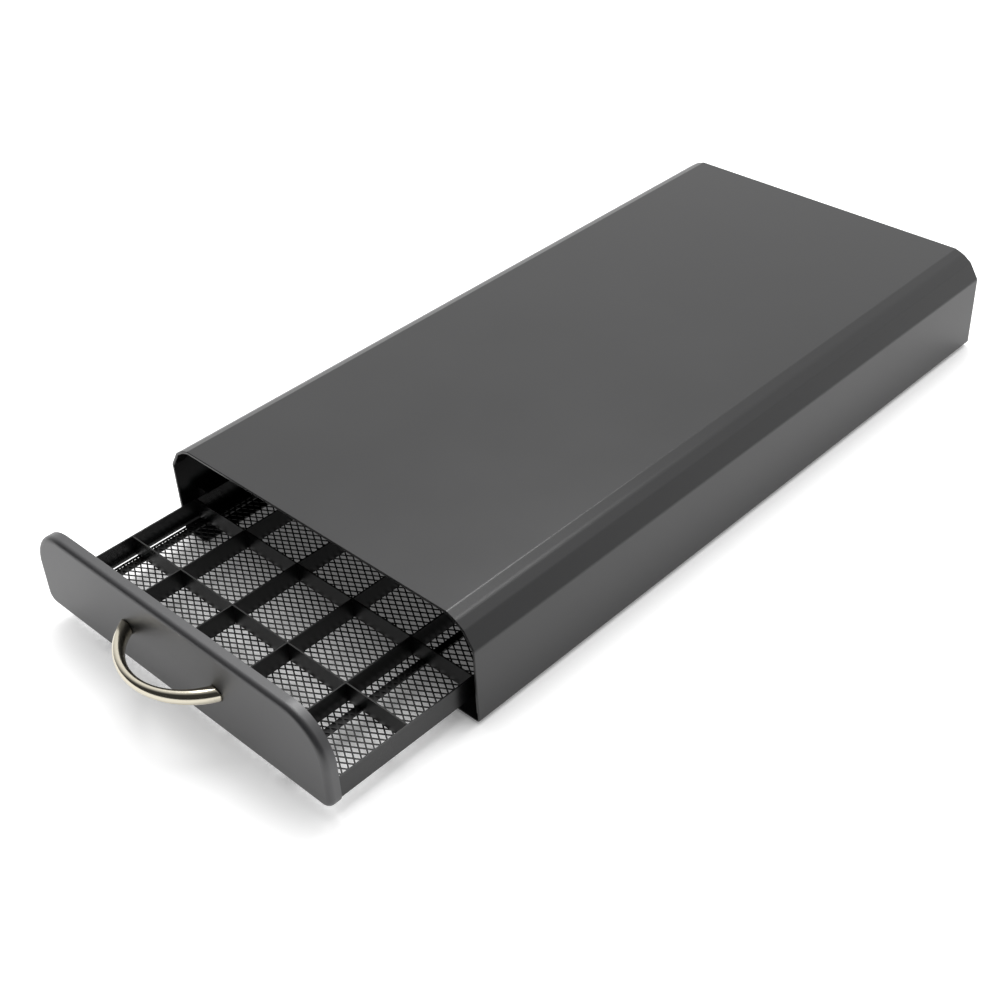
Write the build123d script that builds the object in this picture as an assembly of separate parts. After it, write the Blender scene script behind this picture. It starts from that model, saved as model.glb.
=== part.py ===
"""Capsule drawer: a bent sheet-steel casing and a pull-out drawer with a mesh floor.

Millimetres. X runs to the right seen from the front, +Y runs into the casing, +Z is up.
The origin is the middle of the whole part's footprint on the table, with the drawer
pulled out as far as it rests.
"""
import math
import os

from build123d import *

os.makedirs("parts", exist_ok=True)

# Casing
sheet = 0.8
foot_height = 2.0
foot_radius = 6.0
foot_taper = 0.4
casing_width = 225.0
casing_height = 60.0
casing_depth = 436.0
corner_flats = ((20, 5.8), (35, 6.6), (58, 11.2))   # each flat's slope in degrees and length
bend_radii = (2.8, 9.0, 2.8, 2.8)                   # outside radius at each bend, top to side
flange_width = 18.0
hem_depth = 8.0
hem_start = 6.0            # height above the lower edge where the hem begins
back_inset = 1.0

# Guide rails, heights measured from the casing's lower edge
rail_margin = 12.0
shelf_height = 7.4
shelf_reach = 96.0
lip_height = 22.2
lip_reach = 102.5

# Drawer
pitch = 42.0
columns = 5
rows = 10
drawer_out = 81.2          # casing's front edge to the panel's rear edge, as it rests
wall_bottom = 9.5
wall_top = 21.9
wall_gap = 2.2             # panel's rear edge to the front wall
strap_width = 4.3
strap_centres = (-99.25, -69.9, 69.9, 99.25)
mesh_thickness = 0.8
mesh_half_width = 102.8
mesh_end_gap = 0.6         # mesh to the front and rear walls
mesh_columns = 6
mesh_rows = 20
mesh_strand = 2.0
lap_clearance = 0.1

# Front panel
panel_width = 218.0
panel_bottom = 9.3
panel_top = 59.3
panel_depth = 6.6
panel_roll = 3.0
panel_corner = 25.0
panel_foot_corner = 6.6

# Handle
handle_centres = 70.0
handle_end_width = 8.0
handle_reach = 23.2
handle_thickness = 4.2
handle_height = 34.3
handle_end_height = 9.0
handle_mid_height = 6.4
handle_edge = 1.2
screw_grip = 3.4           # how far each handle screw reaches into the handle

# Stop blocks
block_length = 30.0
block_start = 334.3        # behind the panel's rear edge
block_width = 5.4

# Datum positions
overall_length = casing_depth + drawer_out + panel_depth + handle_reach
front = overall_length / 2 - casing_depth          # casing's front edge
base = foot_height                                 # casing's lower edge
drawer = front - drawer_out                        # panel's rear edge
half = casing_width / 2
drawer_half = columns * pitch / 2
front_wall = drawer + wall_gap
rear_wall = front_wall + rows * pitch
divider_bottom = wall_bottom + mesh_thickness


def save(shape, name):
    """Write one node."""
    export_step(shape, f"parts/{name}.step")


def block(x, y, z):
    """A box from its three (low, high) spans; heights are from the casing's lower edge."""
    size = [high - low for low, high in (x, y, z)]
    centre = [(low + high) / 2 for low, high in (x, y, z)]
    return Pos(centre[0], centre[1], centre[2] + base) * Box(*size)


def backwards(sketch, start, length):
    """Extrude a front-view sketch back from y = start."""
    plane = Plane(origin=(0, start + length, base), x_dir=(1, 0, 0), z_dir=(0, -1, 0))
    return extrude(plane * sketch, amount=length)


def rod(x, y, z, radius, length):
    """A round bar along Y that starts at y."""
    return Pos(x, y + length / 2, z + base) * Rot(90, 0, 0) * Cylinder(radius, length)


def mirrored(shape):
    """The same piece for the other side of the drawer."""
    return mirror(shape, about=Plane.YZ)


# ---------------------------------------------------------------- casing

def casing_section(inset):
    """Closed front view of the casing, drawn inside its skin by inset."""
    x = half - sum(length * math.cos(math.radians(slope)) for slope, length in corner_flats)
    z = casing_height
    corner = [(x, z)]
    for slope, length in corner_flats:
        x += length * math.cos(math.radians(slope))
        z -= length * math.sin(math.radians(slope))
        corner.append((x, z))
    right = corner + [(half, 0)]
    left = [(-px, pz) for px, pz in reversed(right)]
    outline = make_face(Polyline(*right, *left, close=True))
    for (bend_x, bend_z), radius in zip(right, (*bend_radii, 2 * sheet)):
        pair = [v for v in outline.vertices()
                if abs(abs(v.X) - bend_x) + abs(v.Y - bend_z) < 0.01]
        outline = fillet(pair, radius)
    return offset(outline, amount=-inset, kind=Kind.INTERSECTION) if inset else outline


def hem(start):
    """The edge of the sheet folded back on the inside of the casing."""
    ring = casing_section(sheet) - casing_section(2 * sheet)
    low = Pos(0, hem_start / 2) * Rectangle(casing_width, hem_start)
    return backwards(ring - low, start, hem_depth)


def casing_shell():
    skin = backwards(casing_section(0) - casing_section(sheet), front, casing_depth)
    gap = half - flange_width
    skin -= block((-gap, gap), (front - 1, front + casing_depth + 1), (-1, sheet + 1))
    shell = skin + hem(front) + hem(front + casing_depth - hem_depth)
    ends = shell.faces().filter_by(Axis.Y)
    lips = [f for f in ends if f.area > 300 and f.center().Z > base + hem_start]
    edges = [e for f in lips for e in f.edges() if e.bounding_box().min.Z > base + hem_start - 0.01]
    edges = [e for e in edges if e.bounding_box().max.Z - e.bounding_box().min.Z > 0.01
             or e.length > 2 * sheet + 0.01]
    return chamfer(edges, 0.4 * sheet)


def back_panel():
    rear = front + casing_depth - back_inset
    pan = backwards(casing_section(2 * sheet), rear - hem_depth + back_inset, hem_depth - back_inset)
    pan = chamfer(pan.faces().sort_by(Axis.Y)[-1].edges(), sheet)
    inner = backwards(casing_section(3 * sheet), rear - hem_depth - 1, hem_depth + 1 - sheet)
    return pan - inner


def guide_rail():
    """Right-hand channel: a shelf that carries the drawer and a lip that stops it tipping."""
    outer = half - sheet
    back = [(shelf_reach, shelf_height), (outer, shelf_height), (outer, lip_height + sheet),
            (lip_reach, lip_height + sheet), (lip_reach, lip_height),
            (outer - sheet, lip_height), (outer - sheet, shelf_height + sheet),
            (shelf_reach, shelf_height + sheet)]
    outline = make_face(Polyline(*back, close=True))
    bends = outline.vertices().group_by(Axis.X)
    outline = fillet(bends[-1], 2 * sheet)
    inside = [v for v in outline.vertices() if abs(v.X - outer + sheet) < 0.01]
    outline = fillet(inside, sheet)
    length = casing_depth - 2 * rail_margin
    rail = backwards(outline, front + rail_margin, length)
    tab = block((drawer_half + 0.6, outer - sheet / 2), (front + rail_margin, front + rail_margin + sheet),
                (shelf_height + sheet, lip_height))
    return rail + tab


def rubber_foot(x, y):
    return Pos(x, y, foot_height / 2) * Cone(foot_radius - foot_taper, foot_radius, foot_height)


# ---------------------------------------------------------------- drawer floor and dividers

def side_wall():
    return block((drawer_half - sheet, drawer_half), (front_wall, rear_wall + sheet),
                 (wall_bottom, wall_top))


def end_wall(start, holes=()):
    wall = block((sheet - drawer_half, drawer_half - sheet), (start, start + sheet),
                 (wall_bottom, wall_top))
    for x, z in holes:
        wall -= rod(x, start - 1, z, rivet_radius, sheet + 2)
    return wall


def strap(x):
    """Flat bar under the mesh; the outer pair are the runners."""
    bar = block((x - strap_width / 2, x + strap_width / 2), (front_wall, rear_wall + sheet),
                (wall_bottom - 1, wall_bottom))
    ends = bar.edges().filter_by(Axis.X).group_by(Axis.Z)[0]
    return chamfer(ends, 0.6)


def mesh_floor():
    """Flat net with one face of staggered diamond gaps, wider than they are deep."""
    length = rows * pitch - sheet - 2 * mesh_end_gap
    step_x = (2 * mesh_half_width - mesh_strand) / mesh_columns
    step_y = (length - mesh_strand) / mesh_rows
    reach_x, reach_y = (step_x - mesh_strand * 1.6) / 2, (step_y - mesh_strand) / 2
    diamond = make_face(Polyline((reach_x, 0), (0, reach_y), (-reach_x, 0), (0, -reach_y), close=True))
    gaps = []
    for line in range(2 * mesh_rows - 1):
        y = (line - mesh_rows + 1) * step_y / 2
        count = mesh_columns - line % 2
        gaps += [Pos((i - (count - 1) / 2) * step_x, y) * diamond for i in range(count)]
    net = Rectangle(2 * mesh_half_width, length) - gaps
    middle = (front_wall + sheet + rear_wall) / 2
    return Pos(0, middle, base + wall_bottom) * extrude(net, amount=mesh_thickness)


def column_divider(x):
    """Runs front to back and is notched from above for every row divider."""
    strip = block((x - sheet / 2, x + sheet / 2), (front_wall + sheet, rear_wall),
                  (divider_bottom, wall_top))
    slot = (sheet + lap_clearance) / 2
    middle = (divider_bottom + wall_top) / 2
    for row in range(1, rows):
        y = front_wall + sheet / 2 + row * pitch
        strip -= block((x - sheet, x + sheet), (y - slot, y + slot), (middle, wall_top + 1))
    return strip


def row_divider(row):
    """Runs across the drawer and is notched from below for every column divider."""
    y = front_wall + sheet / 2 + row * pitch
    strip = block((sheet - drawer_half, drawer_half - sheet), (y - sheet / 2, y + sheet / 2),
                  (divider_bottom, wall_top))
    slot = (sheet + lap_clearance) / 2
    middle = (divider_bottom + wall_top) / 2
    for column in range(1, columns):
        x = column * pitch - drawer_half
        strip -= block((x - slot, x + slot), (y - sheet, y + sheet), (divider_bottom - 1, middle))
    return strip


# ---------------------------------------------------------------- front panel and handle

rivet_radius = 1.6
rivet_tail = 1.0
panel_rivets = [(x, 15.7) for x in (-2 * pitch, 0, 2 * pitch)]
screw_radius = 2.0


def panel_outline(inset):
    """Front view of the panel: wide round shoulders and tighter feet."""
    width = panel_width - 2 * inset
    height = panel_top - panel_bottom - 2 * inset
    face = Pos(0, (panel_top + panel_bottom) / 2) * Rectangle(width, height)
    face = fillet(face.vertices().group_by(Axis.Y)[-1], panel_corner - inset)
    return fillet(face.vertices().group_by(Axis.Y)[0], panel_foot_corner - inset)


def front_panel():
    """Tray whose front edges are rolled back all round; inside, a flat keeps the sheet's thickness."""
    pan = backwards(panel_outline(0), drawer - panel_depth, panel_depth)
    pan = fillet(pan.faces().sort_by(Axis.Y)[0].edges(), panel_roll)
    room = backwards(panel_outline(sheet), drawer - panel_depth + sheet, panel_depth)
    pan -= chamfer(room.faces().sort_by(Axis.Y)[0].edges(), (2 - math.sqrt(2)) * (panel_roll - sheet))
    for x in (-handle_centres / 2, handle_centres / 2):
        pan -= rod(x, drawer - panel_depth - 1, handle_height, screw_radius, sheet + 2)
    return pan


def mounting_strip():
    """Z section inside the pan that joins it to the drawer's front wall."""
    inner = drawer - panel_depth + sheet
    rear = block((-90, 90), (front_wall - sheet, front_wall), (11.0, 20.8))
    web = block((-90, 90), (inner, front_wall), (20.0, 20.8))
    foot = block((-90, 90), (inner, inner + sheet), (20.0, 29.0))
    strip = rear + web + foot
    for x, z in panel_rivets:
        strip -= rod(x, front_wall - sheet - 1, z, rivet_radius, sheet + 2)
    return strip


def low_head(radius, height):
    """Low round head that narrows upwards, standing on its own base plane."""
    return Pos(0, 0, height / 2) * Cone(radius, radius - height / 2, height)


rivet_head = low_head(3.2, 1.2)


def panel_rivet(x, z):
    """Blind rivet through the front wall and the strip: head in the drawer, tail behind the panel."""
    grip = 2 * sheet
    head = Pos(x, front_wall + sheet, z + base) * Rot(-90, 0, 0) * rivet_head
    return head + rod(x, front_wall - sheet - rivet_tail, z, rivet_radius, grip + rivet_tail)


def handle():
    """Bow pull: a crescent in plan, thicker and taller at its two flat-cut ends."""
    face = drawer - panel_depth
    outer = (handle_centres + handle_end_width) / 2
    inner = (handle_centres - handle_end_width) / 2
    arcs = [ThreePointArc((-outer, 0), (0, -handle_reach), (outer, 0)),
            Line((outer, 0), (inner, 0)),
            ThreePointArc((inner, 0), (0, handle_thickness - handle_reach), (-inner, 0)),
            Line((-inner, 0), (-outer, 0))]
    crescent = extrude(make_face(arcs), amount=handle_end_height / 2, both=True)
    mid, end = handle_mid_height / 2, handle_end_height / 2
    side = [ThreePointArc((-outer, end), (0, mid), (outer, end)), Line((outer, end), (outer, -end)),
            ThreePointArc((outer, -end), (0, -mid), (-outer, -end)),
            Line((-outer, -end), (-outer, end))]
    plane = Plane(origin=(0, 1, 0), x_dir=(1, 0, 0), z_dir=(0, -1, 0))
    bow = crescent & extrude(plane * make_face(side), amount=handle_reach + 2)
    ends = bow.faces().sort_by(Axis.Y)[-2:]
    flat = [e for f in ends for e in f.edges()]
    long_edges = [e for e in bow.edges() if all((e.center() - f.center()).length > 0.01 for f in flat)]
    bow = chamfer(long_edges, handle_edge)
    bow = Pos(0, face, base + handle_height) * bow
    for x in (-handle_centres / 2, handle_centres / 2):
        bow -= rod(x, face - screw_grip, handle_height, screw_radius, screw_grip + 1)
    return bow


def handle_screw(x):
    inner = drawer - panel_depth + sheet
    head = Pos(x, inner, handle_height + base) * Rot(-90, 0, 0) * low_head(3.8, 2.2)
    return head + rod(x, inner - sheet - screw_grip, handle_height, screw_radius, sheet + screw_grip)


# ---------------------------------------------------------------- stop blocks

def stop_block():
    """Right-hand nylon block outside the wall: guides the drawer and stops it at the rail tab."""
    start = drawer + block_start
    body = block((drawer_half, drawer_half + block_width), (start, start + block_length), (10.7, 20.7))
    body = fillet(body.edges().filter_by(Axis.Z).group_by(Axis.X)[-1], 2.0)
    for y in block_rivets:
        body -= Pos(drawer_half + 2, y, 15.7 + base) * Rot(0, 90, 0) * Cylinder(rivet_radius, 8)
    return body


block_rivets = [drawer + block_start + 9, drawer + block_start + 22]


def block_rivet(y):
    """Right-hand rivet through the side wall and block, its dome inside the cell."""
    length = block_width + sheet
    shank = Pos(drawer_half - sheet + length / 2, y, 15.7 + base) * Rot(0, 90, 0) \
        * Cylinder(rivet_radius, length)
    head = Pos(drawer_half - sheet, y, 15.7 + base) * Rot(0, -90, 0) * rivet_head
    return shank + head


def drilled_side_wall():
    wall = side_wall()
    for y in block_rivets:
        wall -= Pos(drawer_half, y, 15.7 + base) * Rot(0, 90, 0) * Cylinder(rivet_radius, 4)
    return wall


# ---------------------------------------------------------------- write the nodes

save(casing_shell(), "casing_shell")
save(back_panel(), "back_panel")
rail = guide_rail()
save(rail, "rail_right")
save(mirrored(rail), "rail_left")
foot_x = half - flange_width / 2
for end, foot_y in (("front", front + 25), ("rear", front + casing_depth - 25)):
    save(rubber_foot(foot_x, foot_y), f"foot_{end}_right")
    save(rubber_foot(-foot_x, foot_y), f"foot_{end}_left")

wall = drilled_side_wall()
save(wall, "drawer_wall_right")
save(mirrored(wall), "drawer_wall_left")
save(end_wall(front_wall, panel_rivets), "drawer_wall_front")
save(end_wall(rear_wall), "drawer_wall_rear")
for number, x in enumerate(strap_centres, 1):
    save(strap(x), f"floor_strap_{number}")
save(mesh_floor(), "mesh_floor")
for number in range(1, columns):
    save(column_divider(number * pitch - drawer_half), f"column_divider_{number}")
for number in range(1, rows):
    save(row_divider(number), f"row_divider_{number}")

save(front_panel(), "front_panel")
save(mounting_strip(), "mounting_strip")
save(Compound([panel_rivet(x, z) for x, z in panel_rivets]), "panel_rivets")
save(handle(), "handle")
save(Compound([handle_screw(x) for x in (-handle_centres / 2, handle_centres / 2)]), "handle_screws")
stop = stop_block()
save(stop, "stop_block_right")
save(mirrored(stop), "stop_block_left")
right_rivets = [block_rivet(y) for y in block_rivets]
save(Compound(right_rivets + [mirrored(r) for r in right_rivets]), "block_rivets")
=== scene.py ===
"""Coffee pod drawer: a black powder-coated steel casing with a mesh-floored drawer pulled out of it."""
import math

import bmesh
import bpy
from mathutils import Matrix, Vector


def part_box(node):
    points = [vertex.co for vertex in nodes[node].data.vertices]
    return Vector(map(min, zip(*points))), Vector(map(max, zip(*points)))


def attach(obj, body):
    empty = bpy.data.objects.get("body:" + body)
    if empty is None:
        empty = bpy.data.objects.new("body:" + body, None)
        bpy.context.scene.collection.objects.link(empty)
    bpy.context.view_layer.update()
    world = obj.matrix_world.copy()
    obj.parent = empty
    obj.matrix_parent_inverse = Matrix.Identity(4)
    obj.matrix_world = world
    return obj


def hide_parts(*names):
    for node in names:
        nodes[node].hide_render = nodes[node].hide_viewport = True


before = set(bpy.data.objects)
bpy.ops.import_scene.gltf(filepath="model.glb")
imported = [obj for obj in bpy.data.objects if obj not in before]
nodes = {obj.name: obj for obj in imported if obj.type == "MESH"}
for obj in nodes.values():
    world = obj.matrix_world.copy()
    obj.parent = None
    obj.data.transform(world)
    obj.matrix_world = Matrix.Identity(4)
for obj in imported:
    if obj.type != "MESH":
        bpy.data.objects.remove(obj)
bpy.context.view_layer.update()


# ------------------------------------------------------------------ view
# The photograph's view, solved from the drawer's edges: to the right of the front
# and above it, with the camera rolled a little.

casing_low, casing_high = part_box("casing_shell")
camera = bpy.data.objects.new("camera", bpy.data.cameras.new("camera"))
bpy.context.scene.collection.objects.link(camera)
bpy.context.scene.camera = camera
camera.data.sensor_width = 36.0
camera.data.lens = 57.02
camera.data.clip_start, camera.data.clip_end = 0.01, 50.0
camera.location = (0.4991, casing_low.y - 0.3577, 0.5344)
turn, tilt, roll = math.radians(45.542), math.radians(37.349), math.radians(-3.223)
level = Matrix.Rotation(turn, 3, "Z") @ Matrix.Rotation(math.pi / 2 - tilt, 3, "X")
camera.rotation_euler = (level @ Matrix.Rotation(roll, 3, "Z")).to_euler()


# ------------------------------------------------------------------ paper and light
# Seamless white paper in a light tent that is bright behind the part and dark in front of it,
# with a soft box overhead and two small lamps behind. The paper keeps the part's shadow, deepened by
# painted shade.

def linear(code):
    """Scene-linear colour of an sRGB hex code."""
    parts = [int(code[i:i + 2], 16) / 255 for i in (1, 3, 5)]
    return tuple(c / 12.92 if c < 0.04045 else ((c + 0.055) / 1.055) ** 2.4 for c in parts) + (1.0,)


def add(tree, kind, settings=None, inputs=None, links=None):
    """Add one shader node; links are {input name: output socket}."""
    node = tree.nodes.new(kind)
    for name, value in (settings or {}).items():
        setattr(node, name, value)
    for name, value in (inputs or {}).items():
        node.inputs[name].default_value = value
    for name, socket in (links or {}).items():
        tree.links.new(socket, node.inputs[name])
    return node


def new_material(name):
    """An empty node material and its tree."""
    material = bpy.data.materials.new(name)
    material.use_nodes = True
    material.node_tree.nodes.clear()
    return material, material.node_tree


def lay_paper():
    """Matt paper that looks evenly white in the open and keeps a grey shadow under the part, deepened by
    a glow that weakens there as painted shade.
    """
    bpy.ops.mesh.primitive_plane_add(size=8.0, location=(0, 0, 0))
    paper = bpy.context.object
    paper.name = "paper"
    material, tree = new_material("white seamless paper")
    ray = add(tree, "ShaderNodeLightPath")
    place = add(tree, "ShaderNodeTexCoord")
    matt = add(tree, "ShaderNodeBsdfDiffuse", inputs={"Color": linear("#F2F2F2")})
    # A glow seen by the camera that weakens where the part hems the paper in: painted shade under the
    # drawer. Glossy rays get an even glow, mirrored by the part.
    openness_for_painted_shade = add(tree, "ShaderNodeAmbientOcclusion", {"samples": 8}, {"Distance": 0.15})
    glow_with_painted_shade = add(tree, "ShaderNodeMapRange", inputs={"From Min": 0.15, "From Max": 0.7, "To Min": 0.1,
                                                    "To Max": 0.62},
                links={"Value": openness_for_painted_shade.outputs["AO"]})
    lift = add(tree, "ShaderNodeMath", {"operation": "MULTIPLY_ADD"},
               links={0: ray.outputs["Is Camera Ray"], 1: glow_with_painted_shade.outputs[0]})
    gleam = add(tree, "ShaderNodeMath", {"operation": "MULTIPLY"}, {1: 0.35},
                {0: ray.outputs["Is Glossy Ray"]})
    tree.links.new(gleam.outputs[0], lift.inputs[2])
    glow = add(tree, "ShaderNodeEmission", links={"Strength": lift.outputs[0]})
    both = add(tree, "ShaderNodeAddShader", links={0: matt.outputs[0], 1: glow.outputs[0]})
    # Painted reflection: glossy rays see the paper turn dark grey from 0.3 to 0.6 m out at the front
    # right, so the part mirrors a dark patch there; the camera still sees white paper.
    outward = add(tree, "ShaderNodeVectorMath", {"operation": "DOT_PRODUCT"}, {1: (0.55, -0.83, 0)},
                  {0: place.outputs["Object"]})
    painted_reflection_ramp = add(tree, "ShaderNodeMapRange", inputs={"From Min": 0.32, "From Max": 0.6},
              links={"Value": outward.outputs["Value"]})
    painted_reflection_mask = add(tree, "ShaderNodeMath", {"operation": "MULTIPLY"},
               links={0: painted_reflection_ramp.outputs[0], 1: ray.outputs["Is Glossy Ray"]})
    dark_painted_reflection = add(tree, "ShaderNodeBsdfDiffuse", inputs={"Color": linear("#202020")})
    mix = add(tree, "ShaderNodeMixShader", links={0: painted_reflection_mask.outputs[0], 1: both.outputs[0],
                                                  2: dark_painted_reflection.outputs[0]})
    add(tree, "ShaderNodeOutputMaterial", links={"Surface": mix.outputs[0]})
    paper.data.materials.append(material)


def soft_box(name, place, target, size, power):
    """A square area lamp aimed at a target."""
    data = bpy.data.lights.new(name, "AREA")
    data.size = size
    data.energy = power
    lamp = bpy.data.objects.new(name, data)
    lamp.location = place
    lamp.rotation_euler = (Vector(target) - Vector(place)).to_track_quat("-Z", "Y").to_euler()
    bpy.context.scene.collection.objects.link(lamp)


def hang_tent():
    """World light that is strongest from behind and weakest from the front."""
    world = bpy.data.worlds.new("light tent")
    bpy.context.scene.world = world
    world.use_nodes = True
    tree = world.node_tree
    tree.nodes.clear()
    ray = add(tree, "ShaderNodeLightPath")
    place = add(tree, "ShaderNodeTexCoord")
    toward = add(tree, "ShaderNodeVectorMath", {"operation": "DOT_PRODUCT"},
                 {1: Vector((-0.3, 0.9, 0.3)).normalized()}, {0: place.outputs["Generated"]})
    level = add(tree, "ShaderNodeMapRange", {"interpolation_type": "SMOOTHSTEP"},
                {"From Min": -0.35, "From Max": 0.6, "To Min": 0.04, "To Max": 0.97},
                {"Value": toward.outputs["Value"]})
    tent = add(tree, "ShaderNodeBackground", links={"Strength": level.outputs[0]})
    seen = add(tree, "ShaderNodeBackground", inputs={"Strength": 1.0})
    for background in (tent, seen):
        background.inputs["Color"].default_value = linear("#FFFFFF")
    mix = add(tree, "ShaderNodeMixShader", links={0: ray.outputs["Is Camera Ray"], 1: tent.outputs[0],
                                                  2: seen.outputs[0]})
    add(tree, "ShaderNodeOutputWorld", links={"Surface": mix.outputs[0]})


lay_paper()
soft_box("overhead soft box", (-0.4, 0.3, 1.65), (0, 0, 0), 1.0, 14.0)
soft_box("back lamp left", (-0.45, 0.65, 1.3), (0.1, -0.1, 0.05), 0.25, 1.5)
soft_box("back lamp right", (0.4, 0.65, 1.35), (0.1, -0.1, 0.05), 0.25, 1.5)
hang_tent()
bpy.context.scene.view_settings.view_transform = "Standard"


# ------------------------------------------------------------------ casing
# One sheet of 0.8 mm mild steel folded into a flat box with faceted top corners and hemmed
# mouths, with a pressed back and two rails inside. Satin polyester powder coat over all of it.

def dress(material, *names):
    """Give CAD nodes a material."""
    for name in names:
        slots = nodes[name].material_slots
        for slot in slots:
            slot.material = material
        if not slots:
            nodes[name].data.materials.append(material)


def powder_coat(name, colour, roughness, ior):
    """Baked polyester powder: orange peel and faint clouds give a soft, slightly uneven sheen."""
    peel_size, cloud_size = 0.0015, 0.0625
    material, tree = new_material(name)
    place = add(tree, "ShaderNodeTexCoord")
    peel = add(tree, "ShaderNodeTexNoise", inputs={"Scale": 1 / peel_size, "Detail": 2.0},
               links={"Vector": place.outputs["Object"]})
    cloud = add(tree, "ShaderNodeTexNoise", inputs={"Scale": 1 / cloud_size, "Detail": 4.0},
                links={"Vector": place.outputs["Object"]})
    tint = add(tree, "ShaderNodeValToRGB", links={"Fac": cloud.outputs["Fac"]})
    for element, spot, depth in zip(tint.color_ramp.elements, (0.15, 0.85), (0.88, 1.12)):
        element.position = spot
        element.color = tuple(c * depth for c in linear(colour)[:3]) + (1.0,)
    gloss = add(tree, "ShaderNodeMapRange",
                inputs={"To Min": roughness - 0.04, "To Max": roughness + 0.04},
                links={"Value": cloud.outputs["Fac"]})
    bump = add(tree, "ShaderNodeBump", inputs={"Strength": 0.04, "Distance": 0.0002},
               links={"Height": peel.outputs["Fac"]})
    shader = add(tree, "ShaderNodeBsdfPrincipled", inputs={"IOR": ior},
                 links={"Base Color": tint.outputs[0], "Roughness": gloss.outputs[0],
                        "Normal": bump.outputs[0]})
    add(tree, "ShaderNodeOutputMaterial", links={"Surface": shader.outputs[0]})
    return material


dress(powder_coat("satin black powder coat on folded sheet", "#222223", 0.3, 1.56),
      "casing_shell", "back_panel")
# The rails' coat gets a darker base colour than the casing's: painted shade for the dim inside of the
# casing.
dress(powder_coat("satin black powder coat on rails, painted dark for shade", "#141414", 0.45, 1.55),
      "rail_right", "rail_left")


# ------------------------------------------------------------------ feet
# Four pads of moulded natural rubber, 12 mm across, stuck under the casing's turned-in
# edges. Matt, with a fine grain from the mould.

def moulded(name, colour, roughness):
    """Rubber or nylon from a spark-eroded mould, whose grain gives an even, dull black."""
    grain_size = 0.0008
    material, tree = new_material(name)
    place = add(tree, "ShaderNodeTexCoord")
    grain = add(tree, "ShaderNodeTexNoise", inputs={"Scale": 1 / grain_size, "Detail": 2.0},
                links={"Vector": place.outputs["Object"]})
    bump = add(tree, "ShaderNodeBump", inputs={"Strength": 0.15, "Distance": 0.0002},
               links={"Height": grain.outputs["Fac"]})
    shader = add(tree, "ShaderNodeBsdfPrincipled",
                 inputs={"Base Color": linear(colour), "Roughness": roughness},
                 links={"Normal": bump.outputs[0]})
    add(tree, "ShaderNodeOutputMaterial", links={"Surface": shader.outputs[0]})
    return material


dress(moulded("moulded natural rubber", "#171717", 0.75),
      "foot_front_right", "foot_front_left", "foot_rear_right", "foot_rear_left")


# ------------------------------------------------------------------ drawer walls and dividers
# Strips of the same coated 0.8 mm sheet, half-lapped into a grid of fifty cells and welded
# inside the walls. Their sheared edges are slightly rounded by the coating.

def round_edges(name, width):
    """The coating's rounding of a strip's cut edges."""
    bevel = nodes[name].modifiers.new("coated edge", "BEVEL")
    bevel.width = width
    bevel.segments = 2
    bevel.limit_method = "ANGLE"
    bevel.angle_limit = math.radians(60)
    bevel.harden_normals = True


# The strips' and walls' coats get darker base colours than the casing's: painted shade for the dim cells.
strip_coat_painted_shade = powder_coat("satin black powder coat on strip, painted dark for shade", "#090909", 0.35, 1.4)
wall_coat_painted_shade = powder_coat("satin black powder coat on drawer walls", "#131314", 0.28, 1.5)
for name in nodes:
    if name.startswith(("drawer_wall", "column_divider", "row_divider")):
        dress(wall_coat_painted_shade if name.startswith("drawer_wall") else strip_coat_painted_shade, name)
        round_edges(name, 0.00018)


# ------------------------------------------------------------------ mesh floor
# Expanded steel mesh: sheet slit and stretched into diamonds 6.5 mm by 3.95 mm, then rolled
# flat, with a plain selvage at each side, and welded on four flat bars. Coated satin black.

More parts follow.
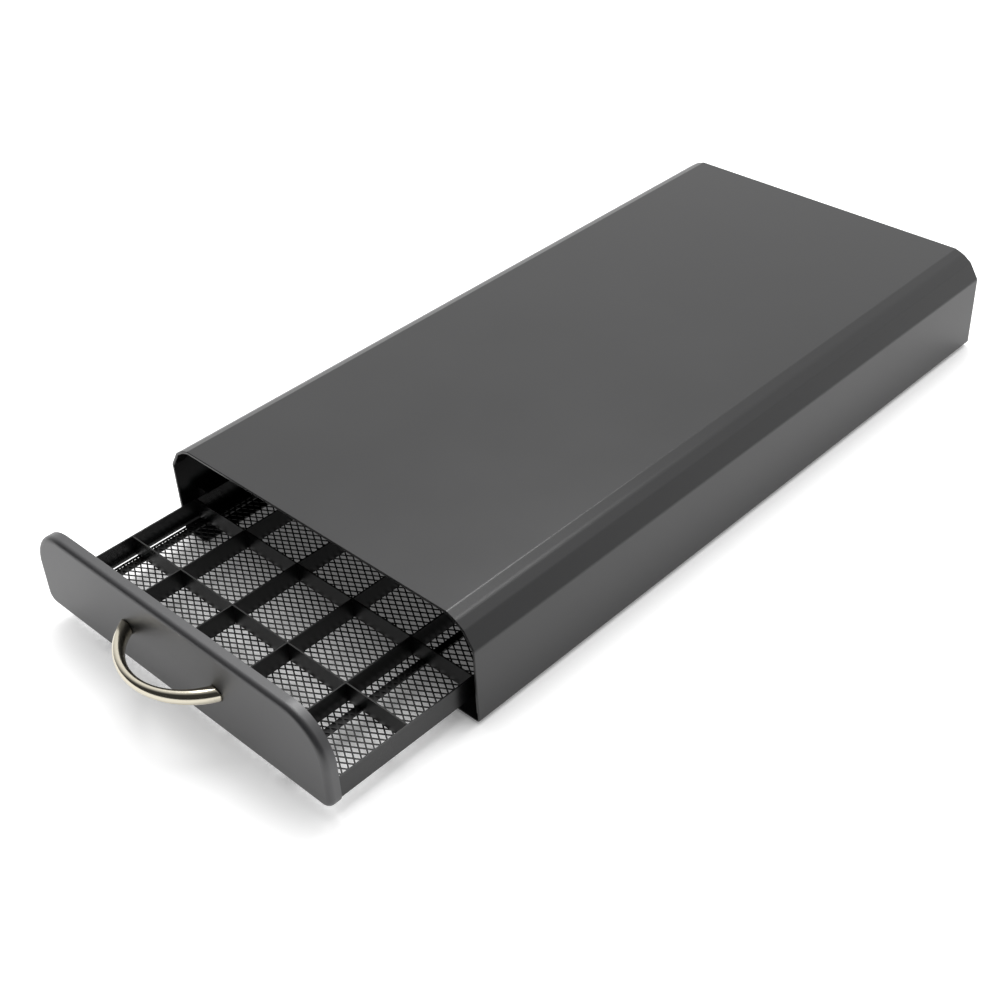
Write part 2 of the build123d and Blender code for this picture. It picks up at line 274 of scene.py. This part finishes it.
def expanded_mesh():
    """Flat staggered lattice, trimmed to the floor's rectangle, then given its thickness."""
    low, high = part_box("mesh_floor")
    long_way, short_way, gap_share, selvage = 0.0065, 0.00395, 0.77, 0.0014
    reach_x, reach_y = gap_share * long_way / 2, gap_share * short_way / 2
    columns = int((high.x - low.x) / long_way) + 3
    lines = 2 * (int((high.y - low.y) / short_way) + 3)
    form = bmesh.new()
    corners = {}
    for line in range(lines):
        for column in range(columns):
            x = low.x + (column - 1 + (line % 2) / 2) * long_way
            y = low.y + (line / 2 - 1) * short_way
            spots = {"e": (x + reach_x, y), "n": (x, y + reach_y), "w": (x - reach_x, y),
                     "s": (x, y - reach_y)}
            for side, (px, py) in spots.items():
                corners[line, column, side] = form.verts.new((px, py, 0))
    for line in range(1, lines - 1):
        for column in range(1, columns - 1):
            right = column + line % 2
            here, up, down = (line, column), (line + 1, right), (line - 1, right)
            form.faces.new([corners[here + ("e",)], corners[up + ("s",)], corners[up + ("w",)],
                            corners[here + ("n",)]])
            form.faces.new([corners[here + ("e",)], corners[here + ("s",)], corners[down + ("w",)],
                            corners[down + ("n",)]])
            form.faces.new([corners[here + ("e",)], corners[down + ("n",)],
                            corners[line, column + 1, "w"], corners[up + ("s",)]])
    bmesh.ops.delete(form, geom=[v for v in form.verts if not v.link_faces], context="VERTS")
    middle = (low + high) / 2
    trims = ((1, 0, high.x - selvage), (-1, 0, low.x + selvage), (1, 1, high.y), (-1, 1, low.y))
    for sign, axis, edge in trims:
        plane = [0, 0, 0]
        plane[axis] = sign
        place = Vector((middle.x, middle.y, 0))
        place[axis] = edge
        everything = form.verts[:] + form.edges[:] + form.faces[:]
        bmesh.ops.bisect_plane(form, geom=everything, plane_co=place, plane_no=plane, clear_outer=True)
    for inner, outer in ((low.x + selvage, low.x), (high.x - selvage, high.x)):
        border = [(inner, low.y), (outer, low.y), (outer, high.y), (inner, high.y)]
        form.faces.new([form.verts.new((x, y, 0)) for x, y in border])
    bmesh.ops.recalc_face_normals(form, faces=form.faces)
    data = bpy.data.meshes.new("expanded_mesh")
    form.to_mesh(data)
    form.free()
    net = bpy.data.objects.new("expanded_mesh", data)
    bpy.context.scene.collection.objects.link(net)
    net.location.z = (low.z + high.z) / 2
    thick = net.modifiers.new("sheet", "SOLIDIFY")
    thick.thickness = 0.0003
    thick.offset = 0.0
    return net


net = expanded_mesh()
# The mesh's coat gets a near-black base colour, darker than the casing's: painted shade for the dim
# cells.
net.data.materials.append(powder_coat("satin black powder coat on expanded mesh", "#0A0A0A", 0.5, 1.45))
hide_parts("mesh_floor")
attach(net, "drawer")
dress(strip_coat_painted_shade, *[name for name in nodes if name.startswith("floor_strap")])


# ------------------------------------------------------------------ front panel
# A shallow tray pressed from the same sheet, its edges rolled back all round, held to the
# drawer by a riveted strip behind it. A finer powder gives it a softer sheen than the casing, and its
# coat is painted a lighter grey as painted light on its face.

# The panel's coat gets a lighter grey base colour than the casing's: painted light for its brighter face.
dress(powder_coat("fine satin black powder coat on pressed panel", "#39393B", 0.38, 1.8),
      "front_panel", "mounting_strip")


# ------------------------------------------------------------------ fasteners
# Blind rivets and pan-head screws in zinc-plated steel, behind the panel and in the cells.
# The plating gives them a grey, slightly clouded shine.

def plated(name, colour, roughness):
    """Electroplated metal: faint clouds in the polish soften the edges of what it mirrors."""
    cloud_size = 0.004
    material, tree = new_material(name)
    place = add(tree, "ShaderNodeTexCoord")
    cloud = add(tree, "ShaderNodeTexNoise", inputs={"Scale": 1 / cloud_size, "Detail": 3.0},
                links={"Vector": place.outputs["Object"]})
    gloss = add(tree, "ShaderNodeMapRange",
                inputs={"To Min": roughness - 0.05, "To Max": roughness + 0.05},
                links={"Value": cloud.outputs["Fac"]})
    bump = add(tree, "ShaderNodeBump", inputs={"Strength": 0.05, "Distance": 0.0001},
               links={"Height": cloud.outputs["Fac"]})
    shader = add(tree, "ShaderNodeBsdfPrincipled", inputs={"Base Color": linear(colour), "Metallic": 1.0},
                 links={"Roughness": gloss.outputs[0], "Normal": bump.outputs[0]})
    add(tree, "ShaderNodeOutputMaterial", links={"Surface": shader.outputs[0]})
    return material


dress(plated("zinc-plated steel", "#B9BABC", 0.35), "panel_rivets", "block_rivets", "handle_screws")


# ------------------------------------------------------------------ handle
# A bow pull cast in zinc, 78 mm across its ends and thicker towards them, polished and plated
# in warm nickel. Two screws from inside the panel hold it. Its section is a soft oval.

def bow_pull():
    """Oval sections laid between the outer and the inner arc of the CAD crescent."""
    low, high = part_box("handle")
    centre, reach = (low + high) / 2, high.y - low.y
    end_width, thickness, mid_height = 0.0092, 0.0052, 0.0064
    outer, end_height = (high.x - low.x) / 2, high.z - low.z
    stations, ring, fullness = 72, 32, 2.1

    def arc(half_span, depth, t):
        """A point on the arc that spans the ends at y = 0 and passes depth in front of them."""
        radius = (half_span ** 2 + depth ** 2) / (2 * depth)
        angle = t * math.asin(half_span / radius)
        return Vector((radius * math.sin(angle), radius - depth - radius * math.cos(angle), 0))

    form = bmesh.new()
    loops = []
    for i in range(stations + 1):
        t = 2 * i / stations - 1
        front, back = arc(outer, reach, t), arc(outer - end_width, reach - thickness, t)
        middle, across = (front + back) / 2, (front - back) / 2
        tall = (mid_height + (end_height - mid_height) * (middle.x / outer) ** 2) / 2
        loop = []
        for k in range(ring):
            angle = 2 * math.pi * k / ring
            c, s = math.cos(angle), math.sin(angle)
            side = math.copysign(abs(c) ** (2 / fullness), c)
            lift = math.copysign(abs(s) ** (2 / fullness), s)
            point = middle + across * side
            loop.append(form.verts.new((centre.x + point.x, high.y + point.y, centre.z + tall * lift)))
        loops.append(loop)
    for first, second in zip(loops, loops[1:]):
        for k in range(ring):
            form.faces.new([first[k], first[(k + 1) % ring], second[(k + 1) % ring], second[k]])
    form.faces.new(loops[0])
    form.faces.new(loops[-1])
    bmesh.ops.recalc_face_normals(form, faces=form.faces)
    data = bpy.data.meshes.new("bow_pull")
    form.to_mesh(data)
    form.free()
    for face in data.polygons:
        face.use_smooth = len(face.vertices) == 4
    bow = bpy.data.objects.new("bow_pull", data)
    bpy.context.scene.collection.objects.link(bow)
    return bow


pull = bow_pull()
pull.data.materials.append(plated("polished warm nickel plate", "#DDD6C4", 0.14))
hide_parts("handle")
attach(pull, "drawer")


# ------------------------------------------------------------------ stop blocks
# Two blocks of moulded black nylon riveted outside the drawer's walls. They run in the rails
# and meet the tabs at the rails' front ends.

dress(moulded("moulded black nylon", "#191919", 0.5), "stop_block_right", "stop_block_left")
